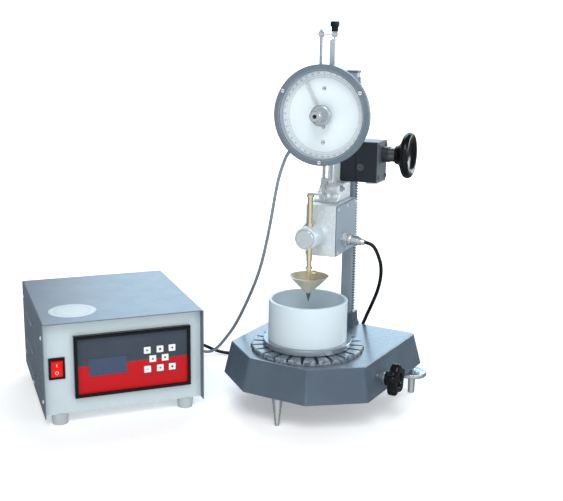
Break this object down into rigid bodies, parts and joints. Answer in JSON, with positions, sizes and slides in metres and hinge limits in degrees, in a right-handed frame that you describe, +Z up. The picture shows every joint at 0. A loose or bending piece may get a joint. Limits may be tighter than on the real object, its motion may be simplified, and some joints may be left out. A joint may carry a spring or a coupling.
{
  "type": "laboratory penetrometer",
  "caption": "Cone penetrometer: rack-pillar stand with dial head, released plunger and brass cone over a specimen dish, wired to a keypad control box.",
  "frame": {"origin": "centre of the bottom of the instrument's box, cables left out, on the bench", "axes": "+X towards the handwheel, +Y towards the back of the stand, +Z up the pillar"},
  "size_m": [0.6892, 0.488, 0.616],
  "materials": {
    "hammer_paint": "hammered blue-grey enamel",
    "cover_paint": "blue-grey enamel",
    "panel_paint": "pale grey satin enamel",
    "cast_alloy": "cast and turned",
    "machined_steel": "turned, bright",
    "gear_steel": "dark, oiled",
    "head_paint": "slate enamel",
    "plate_black": "blackened",
    "bright_alloy": "turned, bright",
    "foot_grey": "moulded, pale grey",
    "dial_white": "matt white",
    "pointer_grey": "lacquered grey",
    "chrome": "polished",
    "black_gloss": "moulded, glossy",
    "black_matte": "moulded, matt",
    "brass": "turned, lightly tarnished",
    "dish_white": "smooth white",
    "keypad_red": "printed film",
    "display_dark": "tinted window",
    "switch_red": "translucent red",
    "board_green": "laminate",
    "cable_grey": "smooth sheath",
    "cable_black": "smooth sheath"
  },
  "bodies": {
    "stand": {"base_casting": "hammer_paint", "pillar_socket": "hammer_paint", "pillar": "machined_steel", "pillar_rack": "gear_steel", "pillar_cap": "machined_steel", "front_foot": "machined_steel", "control_chassis": "panel_paint", "control_cover": "cover_paint", "control_feet": "foot_grey", "panel_frame": "black_matte", "keypad_overlay": "keypad_red", "display_window": "display_dark", "switch_housing": "black_matte", "circuit_board": "board_green", "cable_glands": "black_matte", "power_inlet": "black_matte", "dial_cable": "cable_grey", "release_cable": "cable_black"},
    "level_left": {"level_screw_left": "machined_steel"},
    "level_right": {"level_screw_right": "machined_steel"},
    "clamp": {"clamp_spindle": "machined_steel", "clamp_knob": "black_gloss"},
    "ring": {"ring_nut": "machined_steel"},
    "table": {"specimen_table": "machined_steel", "specimen_dish": "dish_white"},
    "head": {"head_sleeve": "head_paint", "gear_case": "head_paint", "arm_casting": "cast_alloy", "release_block": "cast_alloy", "block_cover": "cover_paint", "solenoid": "black_matte", "clutch_barrel": "cast_alloy", "barrel_bushes": "brass", "connector_socket": "chrome", "connector_plug": "chrome", "dial_housing": "hammer_paint", "dial_plate": "dial_white", "dial_bezel": "hammer_paint", "head_plates": "plate_black", "head_screws": "machined_steel", "dial_gland": "machined_steel"},
    "handwheel": {"worm_shaft": "chrome", "handwheel": "black_gloss"},
    "pinion": {"drive_pinion": "gear_steel"},
    "release": {"release_button": "cast_alloy", "button_spring": "machined_steel"},
    "measuring": {"measuring_rack": "machined_steel", "guide_rod": "machined_steel", "rod_bridge": "machined_steel", "measuring_nuts": "machined_steel", "lift_knob": "black_gloss", "contact_foot": "machined_steel"},
    "pointer": {"pointer": "pointer_grey", "pointer_arbor": "machined_steel", "zero_knob": "bright_alloy"},
    "plunger": {"plunger_rod": "brass", "penetration_cone": "brass", "cone_tip": "gear_steel", "cone_screw": "brass"},
    "switch": {"switch_rocker": "switch_red"}
  },
  "joints": [
    {"name": "handwheel_turn", "type": "hinge", "parent": "head", "child": "handwheel", "pos_m": [0.23366, 0.17707, 0.406], "axis": [1, 0, 0], "range_deg": [-631, 7650]},
    {"name": "head_slide", "type": "slide", "parent": "stand", "child": "head", "axis": [0, 0, 1], "range_m": [-0.00825, 0.1001], "deforming": ["dial_cable", "release_cable"]},
    {"name": "pinion_turn", "type": "hinge", "parent": "head", "child": "pinion", "pos_m": [0.22116, 0.17707, 0.386], "axis": [0, -1, 0], "range_deg": [-32, 383]},
    {"name": "plunger_drop", "type": "slide", "parent": "head", "child": "plunger", "axis": [0, 0, 1], "range_m": [-0.04, 0]},
    {"name": "measuring_slide", "type": "slide", "parent": "head", "child": "measuring", "axis": [0, 0, 1], "range_m": [-0.04, 0]},
    {"name": "pointer_turn", "type": "hinge", "parent": "head", "child": "pointer", "pos_m": [0.19716, 0.03307, 0.4776], "axis": [0, -1, 0], "range_deg": [-361, 0]},
    {"name": "release_push", "type": "slide", "parent": "head", "child": "release", "axis": [0, 1, 0], "range_m": [0, 0.003], "stiffness_N_per_m": 500, "deforming": ["button_spring"]},
    {"name": "ring_turn", "type": "hinge", "parent": "stand", "child": "ring", "pos_m": [0.17366, 0.03307, 0.101], "axis": [0, 0, 1], "range_deg": [-720, 0]},
    {"name": "table_lift", "type": "slide", "parent": "stand", "child": "table", "axis": [0, 0, 1], "range_m": [0, 0.00401]},
    {"name": "clamp_turn", "type": "hinge", "parent": "stand", "child": "clamp", "pos_m": [0.29255, 0.01678, 0.0765], "axis": [0.9907, -0.1357, 0], "range_deg": [-90, 90]},
    {"name": "level_left_turn", "type": "hinge", "parent": "stand", "child": "level_left", "pos_m": [0.06792, 0.19694, 0.036], "axis": [0, 0, 1], "range_deg": [-180, 180]},
    {"name": "level_right_turn", "type": "hinge", "parent": "stand", "child": "level_right", "pos_m": [0.31957, 0.16246, 0.036], "axis": [0, 0, 1], "range_deg": [-180, 180]},
    {"name": "switch_rock", "type": "hinge", "parent": "stand", "child": "switch", "pos_m": [-0.15111, -0.19491, 0.0932], "axis": [0.7266, 0.6871, 0], "range_deg": [-16, 0]}
  ],
  "couplings": [
    {"joint": "handwheel_turn", "follows": "head_slide", "rad_per_m": 1333.3},
    {"joint": "pinion_turn", "follows": "head_slide", "rad_per_m": 66.667},
    {"joint": "measuring_slide", "follows": "plunger_drop", "ratio": 1},
    {"joint": "pointer_turn", "follows": "plunger_drop", "rad_per_m": 157.08},
    {"joint": "table_lift", "follows": "ring_turn", "m_per_rad": -0.00031831}
  ]
}
